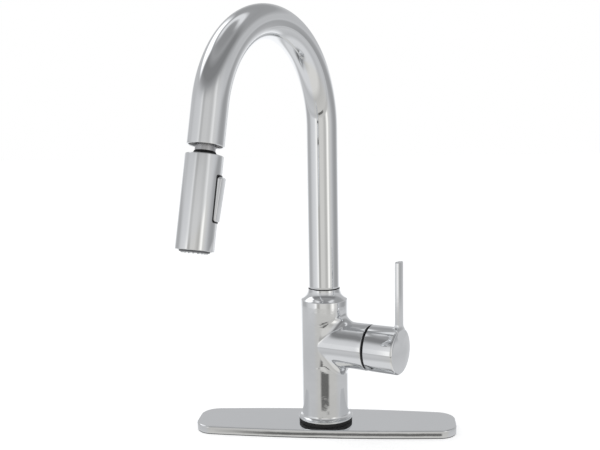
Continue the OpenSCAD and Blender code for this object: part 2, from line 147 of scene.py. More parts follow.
def finish_material(name, colour, tone, metallic, rough, rough_range, grain, relief, coat=0.0):
    """colour varies by the share tone, roughness by rough_range, and relief is the surface's unevenness in metres."""
    material = bpy.data.materials.new(name)
    material.use_nodes = True
    shader = Shader(material.node_tree)
    where = shader.add("ShaderNodeTexCoord").outputs["Object"]
    broad = mottled(shader, where, grain)
    fine = mottled(shader, where, grain * 9, 3.0)
    dark = [c * (1 - tone) for c in colour] + [1]
    light = [min(1, c * (1 + tone)) for c in colour] + [1]
    tint = shader.add("ShaderNodeMix", {"data_type": "RGBA"})
    shader.tree.links.new(broad.socket, tint.inputs[0])
    tint.inputs[6].default_value = dark
    tint.inputs[7].default_value = light
    bump = shader.add("ShaderNodeBump", Height=broad + fine * 0.08, Strength=1.0, Distance=relief)
    surface = shader.add(
        "ShaderNodeBsdfPrincipled",
        Base_Color=tint.outputs[2],
        Metallic=metallic,
        Roughness=rough + rough_range * fine,
        Normal=bump.outputs[0],
        Coat_Weight=coat,
    )
    shader.add("ShaderNodeOutputMaterial", Surface=surface.outputs[0])
    return material


FINISHES = {
    "chrome": finish_material("chrome", (0.86, 0.87, 0.88), 0.015, 1.0, 0.03, 0.03, 22, 0.00012),
    "black_rubber": finish_material("black_rubber", (0.018, 0.018, 0.019), 0.25, 0.0, 0.55, 0.25, 300, 0.00004),
    "black_plastic": finish_material("black_plastic", (0.022, 0.022, 0.024), 0.2, 0.0, 0.35, 0.2, 250, 0.00003),
    "brass": finish_material("brass", (0.72, 0.5, 0.22), 0.12, 1.0, 0.22, 0.16, 120, 0.00004),
    "steel": finish_material("steel", (0.6, 0.6, 0.61), 0.08, 1.0, 0.25, 0.15, 150, 0.00003),
    "dark_steel": finish_material("dark_steel", (0.1, 0.1, 0.1), 0.2, 1.0, 0.35, 0.2, 300, 0.00003),
    "copper": finish_material("copper", (0.75, 0.38, 0.24), 0.1, 1.0, 0.2, 0.18, 90, 0.00004),
    "valve_plastic": finish_material("valve_plastic", (0.72, 0.69, 0.61), 0.05, 0.0, 0.4, 0.15, 160, 0.00003),
    "ceramic": finish_material("ceramic", (0.86, 0.86, 0.83), 0.03, 0.0, 0.12, 0.08, 200, 0.00001, 0.3),
    "blue_plastic": finish_material("blue_plastic", (0.06, 0.2, 0.42), 0.1, 0.0, 0.35, 0.15, 180, 0.00003),
    "hose_nylon": finish_material("hose_nylon", (0.11, 0.11, 0.115), 0.3, 0.0, 0.6, 0.25, 600, 0.0001),
    "satin_metal": finish_material("satin_metal", (0.55, 0.55, 0.56), 0.06, 1.0, 0.3, 0.12, 260, 0.00002),
    "grey_plastic": finish_material("grey_plastic", (0.12, 0.123, 0.128), 0.12, 0.0, 0.35, 0.2, 200, 0.00003),
    "nozzle_rubber": finish_material("nozzle_rubber", (0.5, 0.51, 0.52), 0.08, 0.0, 0.5, 0.2, 400, 0.00003),
}
cast_chrome = finish_material("cast_chrome", (0.86, 0.87, 0.88), 0.015, 1.0, 0.03, 0.03, 45, 0.0002)

for node in nodes.values():
    for material_slot in node.material_slots:
        slot_name = material_slot.material.name.split(".")[0]
        material_slot.material = FINISHES.get(slot_name, FINISHES["steel"])
    node.data.set_sharp_from_angle(angle=math.radians(30))

# ---------- Deck plate ----------
# Pressed brass cover plate, plated, on a black moulded liner with a foam seal round its edge.
# It bridges the unused sink holes, and the faucet's flange clamps it down.

MM = Matrix.Scale(0.001, 4)
UPRIGHT = Matrix.Identity(4)


def add_piece(name, verts, faces, place, finish, body, replaced, sharp=32):
    """A finished piece from points in millimetres in a part's own frame."""
    mesh = bpy.data.meshes.new(name)
    mesh.from_pydata([tuple(v) for v in verts], [], faces)
    return add_mesh(name, mesh, place, finish, body, replaced, sharp)


def add_mesh(name, mesh, place, finish, body, replaced, sharp=32):
    bm = bmesh.new()
    bm.from_mesh(mesh)
    bmesh.ops.remove_doubles(bm, verts=bm.verts, dist=0.0005)
    bmesh.ops.recalc_face_normals(bm, faces=bm.faces)
    bm.to_mesh(mesh)
    bm.free()
    mesh.transform(MM @ place)
    mesh.materials.clear()
    mesh.materials.append(finish)
    for face in mesh.polygons:
        face.material_index = 0
    mesh.shade_smooth()
    mesh.set_sharp_from_angle(angle=math.radians(sharp))
    piece = bpy.data.objects.new(name, mesh)
    bpy.context.scene.collection.objects.link(piece)
    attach(piece, body)
    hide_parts(*replaced)
    return piece


def loft(loops, closed=True, capped=False):
    """Points and faces of a skin through loops that all have the same number of points."""
    count = len(loops[0])
    points = [p for loop in loops for p in loop]
    faces = []
    for i in range(len(loops) if closed else len(loops) - 1):
        a = i * count
        b = ((i + 1) % len(loops)) * count
        for k in range(count):
            m = (k + 1) % count
            faces.append((a + k, a + m, b + m, b + k))
    if capped:
        faces.append(tuple(range(count)))
        faces.append(tuple(range((len(loops) - 1) * count, len(loops) * count)))
    return points, faces


def arc(x, y, radius, start, end, steps):
    angles = [math.radians(start + (end - start) * i / steps) for i in range(steps + 1)]
    return [(x + radius * math.cos(a), y + radius * math.sin(a)) for a in angles]


def plate_outline(inset):
    """Half-length 133.5, half-width 33, corners of radius 19 and long sides bowed out by 5."""
    half_l, half_w, corner, bow = 133.5, 33.0, 19.0, 5.0
    r = corner - inset
    x = half_l - corner
    y = half_w - bow - corner
    side_r = x * x / (2 * bow) + bow / 2 + r
    side_y = half_w - inset - side_r
    lean_in = math.degrees(math.asin(x / (side_r - r)))
    quarter = arc(x, y, r, 0, 90 - lean_in, 20) + arc(0, side_y, side_r, 90 - lean_in, 90, 20)[1:]
    half = quarter + [(-px, py) for px, py in reversed(quarter[:-1])]
    return half + [(px, -py) for px, py in reversed(half[1:-1])]


def plate_loop(inset, z):
    return [(x, y, z) for x, y in plate_outline(inset)]


def hole_loop(radius, z):
    return [(radius * x / math.hypot(x, y), radius * y / math.hypot(x, y), z) for x, y in plate_outline(0)]


PLATE_TOP = 8.5
EDGE_R = 1.3
edge = arc(EDGE_R, PLATE_TOP - EDGE_R, EDGE_R, 180, 90, 7)
plate_loops = [plate_loop(0.25, 1.0), plate_loop(0.0, 1.25)] + [plate_loop(inset, z) for inset, z in edge]
plate_loops += [plate_loop(3.0, PLATE_TOP), hole_loop(17.3, PLATE_TOP), hole_loop(17.0, PLATE_TOP - 0.3)]
plate_loops += [hole_loop(17.0, 6.3), plate_loop(2.2, 6.3), plate_loop(2.2, 1.0)]
plate = add_piece("deck_plate_chrome", *loft(plate_loops), UPRIGHT, FINISHES["chrome"], "base", ["deck_plate"])

# ---------- Faucet body ----------
# One brass casting, machined, polished and plated: an upright barrel with a foot flange and a
# coved shoulder, and a side branch that blends into it and holds the valve.

TURN = Matrix.Rotation(math.radians(-24.2), 4, "Z")
HUB_Z = 91.0


def rounded(points, radii, steps=5):
    """An open outline with each corner rounded to its radius."""
    out = []
    for i, p in enumerate(points):
        r = radii.get(i, 0)
        if not r:
            out.append(p)
            continue
        here, before, after = Vector(p), Vector(points[i - 1]), Vector(points[(i + 1) % len(points)])
        u = (before - here).normalized()
        v = (after - here).normalized()
        half = math.acos(max(-1, min(1, u.dot(v)))) / 2
        back = r / math.tan(half)
        centre = here + (u + v).normalized() * (r / math.sin(half))
        a = here + u * back - centre
        b = here + v * back - centre
        swing = a.angle_signed(b)
        for k in range(steps + 1):
            t = -swing * k / steps
            out.append(
                (
                    centre.x + a.x * math.cos(t) - a.y * math.sin(t),
                    centre.y + a.x * math.sin(t) + a.y * math.cos(t),
                )
            )
    return out


BODY_R, BRANCH_R, BLEND_R, BRANCH_END = 23.75, 23.4, 8.0, 51.2
PER_SIDE, LAYERS = 120, 28
LOW_Z, HIGH_Z = 52.0, 130.0

around = [(-1 + 2 * i / PER_SIDE, 1) for i in range(PER_SIDE)]
around += [(1, 1 - 2 * i / PER_SIDE) for i in range(PER_SIDE)]
around += [(1 - 2 * i / PER_SIDE, -1) for i in range(PER_SIDE)]
around += [(-1, -1 + 2 * i / PER_SIDE) for i in range(PER_SIDE)]


def blend_points(u, v):
    """The ball rolling in the corner between barrel and branch: its centre and its two contacts."""
    turn = math.atan2(u, v)
    y = (BRANCH_R + BLEND_R) * math.sin(turn)
    z = HUB_Z + (BRANCH_R + BLEND_R) * math.cos(turn)
    x = math.sqrt((BODY_R + BLEND_R) ** 2 - y * y)
    centre = Vector((x, y, z))
    on_body = Vector((x * BODY_R / (BODY_R + BLEND_R), y * BODY_R / (BODY_R + BLEND_R), z))
    on_branch = Vector((x, BRANCH_R * math.sin(turn), HUB_Z + BRANCH_R * math.cos(turn)))
    return centre, on_body, on_branch


blends = [blend_points(u, v) for u, v in around]
body_loops = []
for r, x in reversed(rounded([(22.2, BRANCH_END), (BRANCH_R, BRANCH_END), (BRANCH_R, 45)], {1: 0.7})):
    body_loops.append([(x, b[2].y * r / BRANCH_R, HUB_Z + (b[2].z - HUB_Z) * r / BRANCH_R) for b in blends])
body_loops.reverse()
for i in range(1, 7):
    body_loops.append([(45 + (b[2].x - 45) * i / 6, b[2].y, b[2].z) for b in blends])
for i in range(1, 11):
    loop = []
    for centre, on_body, on_branch in blends:
        a = (on_branch - centre).normalized()
        b = (on_body - centre).normalized()
        loop.append(tuple(centre + BLEND_R * a.slerp(b, i / 10)))
    body_loops.append(loop)
for i in range(1, LAYERS + 1):
    w = i / LAYERS
    loop = []
    for (u, v), (centre, on_body, on_branch) in zip(around, blends):
        theta = (1 - w) * math.atan2(on_body.y, on_body.x) + w * math.pi * u
        edge_z = HIGH_Z if v == 1 else LOW_Z if v == -1 else (LOW_Z + HIGH_Z) / 2 + v * (HIGH_Z - LOW_Z) / 2
        z = (1 - w) * on_body.z + w * edge_z
        loop.append((BODY_R * math.cos(theta), BODY_R * math.sin(theta), z))
    body_loops.append(loop)
body_points, body_faces = loft(body_loops, closed=False)

shoulder_z, top_z, top_r = 136.0, 147.0, 16.3
cove_r = ((BODY_R - top_r) ** 2 + (top_z - shoulder_z) ** 2) / (2 * (BODY_R - top_r))
cove_start = 360 + math.degrees(math.atan2(shoulder_z - top_z, BODY_R - top_r - cove_r))
cove = arc(top_r + cove_r, top_z, cove_r, cove_start, 180, 14)
above = rounded([(BODY_R, HIGH_Z), cove[0]] + cove[2:] + [(14.2, top_z)], {1: 1.6, 14: 0.3})
flange = arc(27.75, 18.1, 4.0, 180, 270, 10)
below = rounded([(BODY_R, LOW_Z)] + flange + [(27.75, 12.5), (20.0, 12.5)], {11: 0.4, 12: 0.4})
for outline in (above, below):
    first = len(body_points)
    for r, z in outline:
        for i in range(PER_SIDE + 1):
            theta = math.pi * (-1 + 2 * i / PER_SIDE)
            body_points.append((r * math.cos(theta), r * math.sin(theta), z))
    for j in range(len(outline) - 1):
        for i in range(PER_SIDE):
            a = first + j * (PER_SIDE + 1) + i
            body_faces.append((a, a + 1, a + PER_SIDE + 2, a + PER_SIDE + 1))

body_mesh = bpy.data.meshes.new("faucet_body_skin")
body_mesh.from_pydata([tuple(p) for p in body_points], [], body_faces)


def modified(mesh, settings_by_kind):
    """The mesh with modifiers applied, in order."""
    carrier = bpy.data.objects.new("carrier", mesh)
    bpy.context.scene.collection.objects.link(carrier)
    for kind, settings in settings_by_kind:
        modifier = carrier.modifiers.new(kind, kind)
        for key, value in settings.items():
            setattr(modifier, key, value)
    bpy.context.view_layer.update()
    evaluated = carrier.evaluated_get(bpy.context.evaluated_depsgraph_get())
    result = bpy.data.meshes.new_from_object(evaluated)
    bpy.data.objects.remove(carrier)
    return result


def off_junction(p):
    """How far a point stands off the line where barrel and branch would cross."""
    return max(abs(math.hypot(p.x, p.y) - BODY_R), abs(math.hypot(p.y, p.z - HUB_Z) - BRANCH_R))


skin = bmesh.new()
skin.from_mesh(body_mesh)
bmesh.ops.remove_doubles(skin, verts=skin.verts, dist=0.005)
bmesh.ops.recalc_face_normals(skin, faces=skin.faces)
for i in range(30):
    reach, nearest = 9 - 6 * i / 29, 2 + 14 * i / 29
    near = [v for v in skin.verts if nearest < v.co.x < 44 and off_junction(v.co) < reach and not v.is_boundary]
    bmesh.ops.smooth_vert(skin, verts=near, factor=0.5, use_axis_x=True, use_axis_y=True, use_axis_z=True)
if sum(f.normal.dot(Vector((f.calc_center_median().x, f.calc_center_median().y, 0))) for f in skin.faces) < 0:
    bmesh.ops.reverse_faces(skin, faces=skin.faces)
skin.to_mesh(body_mesh)
skin.free()
walled = modified(body_mesh, [("SOLIDIFY", {"thickness": 2.2, "offset": -1, "use_rim": True})])
body_piece = add_mesh("faucet_body_chrome", walled, TURN, cast_chrome, "base", ["faucet_body"], 40)

# ---------- Rings and gaskets ----------
# Turned or moulded rings: the gasket under the flange, the wear ring under the spout, the trim
# ring behind the handle and the black neck ring over the spray head.

VALVE = TURN @ Matrix.Translation((0, 0, HUB_Z)) @ Matrix.Rotation(math.radians(90), 4, "Y")
LEAN = 13
BEND_Z, BEND_R, BEND_ANGLE, END_STRAIGHT = 309.0, 95.0, 167.0, 33.0
bend = math.radians(BEND_ANGLE)
END_Y = -BEND_R + BEND_R * math.cos(bend) - END_STRAIGHT * math.sin(bend)
END_Z = BEND_Z + BEND_R * math.sin(bend) + END_STRAIGHT * math.cos(bend)
HEAD = TURN @ Matrix.Translation((0, END_Y, END_Z)) @ Matrix.Rotation(math.radians(-LEAN), 4, "X")
ROCKER = HEAD @ Matrix.Rotation(math.radians(12), 4, "Z")


def turned_solid(outline, sides=128):
    """A closed outline in radius and height, turned about the axis."""
    loops = []
    for r, z in outline:
        angles = [2 * math.pi * k / sides for k in range(sides)]
        loops.append([(r * math.cos(a), r * math.sin(a), z) for a in angles])
    return loft(loops)


def ring(r_out, r_in, z_low, z_high, edge=0.25):
    outline = [(r_in, z_low), (r_out, z_low), (r_out, z_high), (r_in, z_high)]
    return turned_solid(rounded(outline, {i: edge for i in range(4)}, 3))


gasket = ring(27.25, 17, 8.5, 12.5, 0.5)
add_piece("base_gasket_rubber", *gasket, UPRIGHT, FINISHES["black_rubber"], "base", ["base_gasket"])
wear_ring = ring(15.8, 14.2, 147, 147.5, 0.15)
add_piece("spout_wear_ring_black", *wear_ring, UPRIGHT, FINISHES["black_plastic"], "base", ["spout_wear_ring"])
add_piece("trim_ring_black", *ring(22.4, 17, 51.2, 52.1, 0.2), VALVE, FINISHES["black_plastic"], "base", ["trim_ring"])
neck_outline = rounded([(6.57, -7.5), (9.7, -7.5), (9.7, -6.5), (8.7, -4.5), (6.57, -4.5)], {1: 0.2, 2: 0.4, 3: 0.3})
add_piece("neck_ring_black", *turned_solid(neck_outline), HEAD, FINISHES["black_rubber"], "spray_head", ["neck_ring"])
nut_outline = [(3.2, -14), (6.5, -14), (6.5, -4.4), (8.4, -4.4), (8.4, 14), (5.75, 14), (5.75, 1.7), (3.2, 1.7)]
nut_outline = rounded(nut_outline, {1: 0.6, 3: 0.3, 4: 0.8, 5: 0.2})
add_piece("hose_nut_satin", *turned_solid(nut_outline), HEAD, FINISHES["satin_metal"], "hose_end", ["hose_nut"])
collar = ring(13.9, 8.9, 0.8, 20, 0.6)
add_piece("docking_collar_black", *collar, HEAD, FINISHES["black_plastic"], "spout", ["docking_collar"])

# ---------- Spout ----------
# Drawn brass tube bent over a former in one radius and plated, with a rolled rim at its end.
# It turns in the body's bore on a brass journal.


class Fields:
    """Builds a Geometry Nodes tree, with arithmetic on its fields."""

    def __init__(self, name, inputs):
        self.tree = bpy.data.node_groups.new(name, "GeometryNodeTree")
        self.tree.interface.new_socket("Geometry", in_out="OUTPUT", socket_type="NodeSocketGeometry")
        self.keys = {}
        self.values = dict(inputs)
        for label, value in inputs.items():
            kind = "NodeSocketInt" if isinstance(value, int) else "NodeSocketFloat"
            self.keys[label] = self.tree.interface.new_socket(label, in_out="INPUT", socket_type=kind).identifier
        self.given = self.tree.nodes.new("NodeGroupInput")

    def add(self, kind, settings=None, **sockets):
        return Shader.add(self, kind, settings, **sockets)

    def value(self, label):
        return Num(self.tree, self.given.outputs[label])

    def set_places(self, geometry, x, y, z):
        place = self.add("ShaderNodeCombineXYZ", X=x, Y=y, Z=z)
        return self.add("GeometryNodeSetPosition", Geometry=geometry, Position=place.outputs[0]).outputs[0]

    def result(self, geometry, material):
        """The finished mesh, realized and with its material set."""
        real = self.add("GeometryNodeRealizeInstances", Geometry=geometry)
        dressed = self.add("GeometryNodeSetMaterial", Geometry=real.outputs[0], Material=material)
        out = self.tree.nodes.new("NodeGroupOutput")
        self.tree.links.new(dressed.outputs[0], out.inputs[0])
        carrier = bpy.data.objects.new("carrier", bpy.data.meshes.new("carrier"))
        bpy.context.scene.collection.objects.link(carrier)
        modifier = carrier.modifiers.new("nodes", "NODES")
        modifier.node_group = self.tree
        for label, value in self.values.items():
            modifier[self.keys[label]] = value
        bpy.context.view_layer.update()
        evaluated = carrier.evaluated_get(bpy.context.evaluated_depsgraph_get())
        mesh = bpy.data.meshes.new_from_object(evaluated)
        bpy.data.objects.remove(carrier)
        return mesh


def grid_fields(g, columns, sides):
    """A sheet of points, and where each is along it and round it, from 0 to 1."""
    sheet = g.add("GeometryNodeMeshGrid", Size_X=1.0, Size_Y=1.0, Vertices_X=columns, Vertices_Y=sides)
    place = g.add("ShaderNodeSeparateXYZ", Vector=g.add("GeometryNodeInputPosition").outputs[0])
    along = Num(g.tree, place.outputs[0]) + 0.5
    round_it = Num(g.tree, place.outputs[1]) + 0.5
    return sheet.outputs[0], along, round_it


def clamped(value):
    return value.op("MINIMUM", 1).op("MAXIMUM", 0)


def wall_section(along, length, r_out, wall):
    """A closed tube wall traced once as along goes from 0 to 1: out, over the rim, back, and over the foot."""
    to_end = along.op("MINIMUM", 1 - along)
    travel = clamped((to_end - 0.02) / 0.46) * length
    swing = clamped(along / 0.02) * 0.5 + clamped((along - 0.48) / 0.04) + clamped((along - 0.98) / 0.02) * 0.5 - 0.5
    swing = swing * math.pi
    s = travel + (wall / 2) * swing.op("SINE")
    r = r_out - wall / 2 + (wall / 2) * swing.op("COSINE")
    return s, r


g = Fields(
    "gooseneck",
    {
        "Foot": 147.5,
        "Bend height": 309.0,
        "Bend radius": 95.0,
        "Bend angle": 167.0,
        "End straight": 33.0,
        "Radius": 15.4,
        "Wall": 1.5,
    },
)
sheet, along, round_it = grid_fields(g, 501, 97)
riser = g.value("Bend height") - g.value("Foot")
bend_length = g.value("Bend radius") * g.value("Bend angle") * (math.pi / 180)
full_length = riser + bend_length + g.value("End straight") - g.value("Wall")
s, r = wall_section(along, full_length, g.value("Radius"), g.value("Wall"))
s = s + g.value("Wall") / 2
turn = ((s - riser) / g.value("Bend radius")).op("MAXIMUM", 0).op("MINIMUM", g.value("Bend angle") * (math.pi / 180))
straight_up = s.op("MINIMUM", riser)
straight_down = (s - riser - bend_length).op("MAXIMUM", 0)
theta = round_it * (2 * math.pi)
x = r * theta.op("COSINE")
out = r * theta.op("SINE")
y = g.value("Bend radius") * (turn.op("COSINE") - 1) - straight_down * turn.op("SINE") + out * turn.op("COSINE")
z = g.value("Foot") + straight_up + g.value("Bend radius") * turn.op("SINE")
z = z + straight_down * turn.op("COSINE") + out * turn.op("SINE")
spout_mesh = g.result(g.set_places(sheet, x, y, z), FINISHES["chrome"])
spout = add_mesh("spout_tube_chrome", spout_mesh, TURN, FINISHES["chrome"], "spout", ["spout_tube"], 60)

# ---------- Handle ----------
# Die-cast zinc, plated: a short drum over the valve stem with a flat lever that rises flush with
# its end face. A set screw from below holds it on the stem.

HUB_R, HUB_START, HUB_END, LEVER_W, LEVER_T, LEVER_TIP = 23.4, 53.85, 85.0, 10.8, 4.6, 89.0


def merge_shapes(first, second, operation):
    """Union, or the first less the second."""
    tool = bpy.data.objects.new("tool", second)
    bpy.context.scene.collection.objects.link(tool)
    result = modified(first, [("BOOLEAN", {"operation": operation, "solver": "EXACT", "object": tool})])
    bpy.data.objects.remove(tool)
    return result


def shape(points, faces):
    mesh = bpy.data.meshes.new("shape")
    mesh.from_pydata([tuple(p) for p in points], [], faces)
    bm = bmesh.new()
    bm.from_mesh(mesh)
    bmesh.ops.remove_doubles(bm, verts=bm.verts, dist=0.0005)
    bmesh.ops.dissolve_degenerate(bm, dist=0.0005, edges=bm.edges)
    bmesh.ops.recalc_face_normals(bm, faces=bm.faces)
    bm.to_mesh(mesh)
    bm.free()
    return mesh


def block(x0, x1, y0, y1, z0, z1):
    loops = [[(x0, y0, z), (x1, y0, z), (x1, y1, z), (x0, y1, z)] for z in (z0, z1)]
    return loft(loops, closed=False, capped=True)


def rounded_box_loop(half_w, low, high, r, at, steps=5):
    """A rounded rectangle across the lever at that distance up it."""
    corners = [(half_w, low), (half_w, high), (-half_w, high), (-half_w, low)]
    return [(-at, y, z) for y, z in rounded(corners, {i: r for i in range(4)}, steps)]


FLARE, FOOT = 6.0, 21.6


def bar_loops():
    """Flat bar whose sides flare into the drum."""
    side_x = math.sqrt((HUB_R + FLARE) ** 2 - (LEVER_W / 2 + FLARE) ** 2)
    tip_r = 1.4
    stations = [14.0] + [FOOT + (29.0 - FOOT) * i / 24 for i in range(25)] + [36, 50, 70, LEVER_TIP - tip_r]
    loops = []
    for at in stations:
        half_w = LEVER_W / 2
        if at < side_x:
            half_w = LEVER_W / 2 + FLARE - math.sqrt(max(FLARE**2 - (max(at, FOOT) - side_x) ** 2, 0))
        loops.append(rounded_box_loop(half_w, HUB_END - LEVER_T, HUB_END, 0.8, at))
    for i in range(1, 6):
        a = math.radians(18 * i)
        pull = tip_r * (1 - math.cos(a))
        low, high = HUB_END - LEVER_T + pull * 0.7, HUB_END - pull * 0.7
        at = LEVER_TIP - tip_r + tip_r * math.sin(a)
        loops.append(rounded_box_loop(LEVER_W / 2 - pull, low, high, 0.8 - 0.1 * i, at))
    return loops


def web_loops():
    """Fillet between the bar's inner face and the drum."""
    root, end = HUB_R - 1.2, HUB_R - 1.2 + FLARE
    loops = []
    for at in [14.0] + [root + FLARE * i / 20 for i in range(21)]:
        low = HUB_END - LEVER_T - FLARE + math.sqrt(max(FLARE**2 - (max(at, root) - end) ** 2, 0))
        loops.append(rounded_box_loop(LEVER_W / 2 - 0.02, low, HUB_END - 3.0, 0.4, at))
    return loops


drum_outline = [(0.0, HUB_END), (HUB_R, HUB_END), (HUB_R, HUB_START), (21.6, HUB_START)]
drum_outline += [(21.6, 66.85), (8, 66.85), (8, 62.85), (0.0, 62.85)]
drum = shape(*turned_solid(rounded(drum_outline, {1: 2.4, 2: 0.4, 3: 0.3, 4: 1.0, 6: 0.4})))
drum = merge_shapes(drum, shape(*loft(bar_loops(), closed=False, capped=True)), "UNION")
drum = merge_shapes(drum, shape(*loft(web_loops(), closed=False, capped=True)), "UNION")
relief_points, relief_faces = block(0, 20, -30, 30, -25, 25)
relief_place = Matrix.Translation((HUB_R, 0, HUB_START + 5.5)) @ Matrix.Rotation(math.radians(45), 4, "Y")
drum = merge_shapes(drum, shape([relief_place @ Vector(p) for p in relief_points], relief_faces), "DIFFERENCE")
drum = merge_shapes(drum, shape(*block(-3.6, 3.6, -3.6, 3.6, 37, 74.5)), "DIFFERENCE")
SCREW_R, SCREW_Z = 2.5, 71
angles = [2 * math.pi * k / 32 for k in range(32)]
bore = [[(x, SCREW_R * math.cos(a), SCREW_Z + SCREW_R * math.sin(a)) for a in angles] for x in (0, 30)]
drum = merge_shapes(drum, shape(*loft(bore, closed=False, capped=True)), "DIFFERENCE")
handle = add_mesh("handle_chrome", drum, VALVE, FINISHES["chrome"], "lever", ["handle"], 28)

# ---------- Spray head ----------
# Plated plastic shell over a moulded core, with a slot for the rocker that swaps stream and spray.
# The nozzle face carries two rings of soft nubs round the aerator.

HEAD_R, HEAD_TOP, HEAD_FOOT = 15.8, -7.5, -84.3
SLOT_TOP, SLOT_FOOT, SLOT_W = -23.0, -61.5, 11.4
SLOT_Z = (SLOT_TOP + SLOT_FOOT) / 2


def slot_loop(width, length, corner, x, steps=6):
    """A rounded rectangle that faces outward from the head, at that distance from its axis."""
    corners = [(width / 2, length / 2), (-width / 2, length / 2), (-width / 2, -length / 2), (width / 2, -length / 2)]
    return [(x, y, SLOT_Z + z) for y, z in rounded(corners, {i: corner for i in range(4)}, steps)]


shell_outline = [(7.1, HEAD_TOP), (HEAD_R, HEAD_TOP), (HEAD_R, HEAD_FOOT), (14.4, HEAD_FOOT), (14.4, -8.5), (7.1, -8.5)]
shell = shape(*turned_solid(rounded(shell_outline, {0: 0.2, 1: 0.9, 2: 0.5, 3: 0.3}), 160))
slot_cutter = shape(*loft([slot_loop(SLOT_W, SLOT_TOP - SLOT_FOOT, 2, x) for x in (5, 25)], closed=False, capped=True))
shell = merge_shapes(shell, slot_cutter, "DIFFERENCE")
shell_piece = add_mesh("head_shell_chrome", shell, ROCKER, FINISHES["chrome"], "spray_head", ["head_shell"], 35)


def on_shell(loop, out):
    """The loop pushed outward to a cylinder that stands proud of the shell."""
    return [(math.sqrt((HEAD_R + out) ** 2 - y * y), y, z) for _, y, z in loop]


full, inner = (SLOT_W, SLOT_TOP - SLOT_FOOT), (SLOT_W - 1.8, SLOT_TOP - SLOT_FOOT - 1.8)
rim_loops = [slot_loop(*full, 2, 9), on_shell(slot_loop(*full, 2, 9), 0.1)]
rim_loops += [on_shell(slot_loop(full[0] - 0.5, full[1] - 0.5, 1.75, 9), 0.33)]
rim_loops += [on_shell(slot_loop(inner[0] + 0.4, inner[1] + 0.4, 1.3, 9), 0.33)]
rim_loops += [on_shell(slot_loop(*inner, 1.1, 9), 0.1)]
rim_loops += [slot_loop(*inner, 1.1, 9)]
rim = loft(rim_loops)
add_piece("rocker_surround_black", *rim, ROCKER, FINISHES["black_plastic"], "spray_head", ["rocker_surround"])

BUTTON_W, BUTTON_L, BUTTON_X = 9.0, 35.7, 18.1
PIN_X, ROCKER_LEAN = 12, 3
leaned = Matrix.Rotation(math.radians(ROCKER_LEAN), 4, "Y")
tilted = ROCKER @ Matrix.Translation((PIN_X, 0, SLOT_Z)) @ leaned @ Matrix.Translation((-PIN_X, 0, -SLOT_Z))
button_loops = [slot_loop(BUTTON_W, BUTTON_L, 1.7, x) for x in (12, 14.5, BUTTON_X - 0.9)]
for i in range(1, 6):
    a = math.radians(18 * i)
    pull = 1.8 * (1 - math.cos(a)) * 0.5
    x = BUTTON_X - 0.9 + 0.9 * math.sin(a)
    button_loops.append(slot_loop(BUTTON_W - 2 * pull, BUTTON_L - 2 * pull, 1.7 - pull, x))
button_points, button_faces = loft(button_loops, closed=False, capped=True)
BARREL_R = 2.6
angles = [2 * math.pi * k / 48 for k in range(48)]
barrel = [[(PIN_X + BARREL_R * math.cos(a), y, SLOT_Z + BARREL_R * math.sin(a)) for a in angles] for y in (-4, 4)]
button = merge_shapes(shape(button_points, button_faces), shape(*loft(barrel, closed=False, capped=True)), "UNION")
button = merge_shapes(button, shape(*block(5.2, 14.2, -1, 1, SLOT_Z - 1, SLOT_Z + 1)), "UNION")
button_piece = add_mesh("rocker_button_chrome", button, tilted, FINISHES["chrome"], "rocker", ["rocker_button"], 30)

face_outline = [(5.6, -1.3), (12.4, -1.3), (12.4, 0.8), (14.4, 0.8), (14.4, 8), (11.6, 8), (11.6, 2), (5.6, 2)]
face_outline = rounded([(r, z + HEAD_FOOT) for r, z in face_outline], {0: 0.3, 1: 0.5})
spray_face = turned_solid(face_outline)
add_piece("spray_face_grey", *spray_face, ROCKER, FINISHES["grey_plastic"], "spray_head", ["spray_face"])

nozzle_inputs = {"Inner count": 12, "Inner ring": 8.0, "Outer count": 18, "Outer ring": 10.4}
nozzle_inputs |= {"Foot radius": 0.7, "Height": 0.8}
g = Fields("nozzles", nozzle_inputs)
nub = g.add(
    "GeometryNodeMeshCone",
    Vertices=16,
    Side_Segments=1,
    Radius_Top=g.value("Foot radius") * 0.6,
    Radius_Bottom=g.value("Foot radius"),
    Depth=g.value("Height"),
)
upside_down = g.add("GeometryNodeTransform", Geometry=nub.outputs[0], Rotation=(math.pi, 0, 0))
joined = g.tree.nodes.new("GeometryNodeJoinGeometry")
for which in ("Inner", "Outer"):
    circle = g.add("GeometryNodeMeshCircle", Vertices=g.value(which + " count"), Radius=g.value(which + " ring"))
    nubs = g.add("GeometryNodeInstanceOnPoints", Points=circle.outputs[0], Instance=upside_down.outputs[0])
    g.tree.links.new(nubs.outputs[0], joined.inputs[0])
nozzle_mesh = g.result(joined.outputs[0], FINISHES["nozzle_rubber"])
nozzle_place = ROCKER @ Matrix.Translation((0, 0, HEAD_FOOT - 1.3))
add_mesh("spray_nozzles_rubber", nozzle_mesh, nozzle_place, FINISHES["nozzle_rubber"], "spray_head", ["spray_nozzles"])
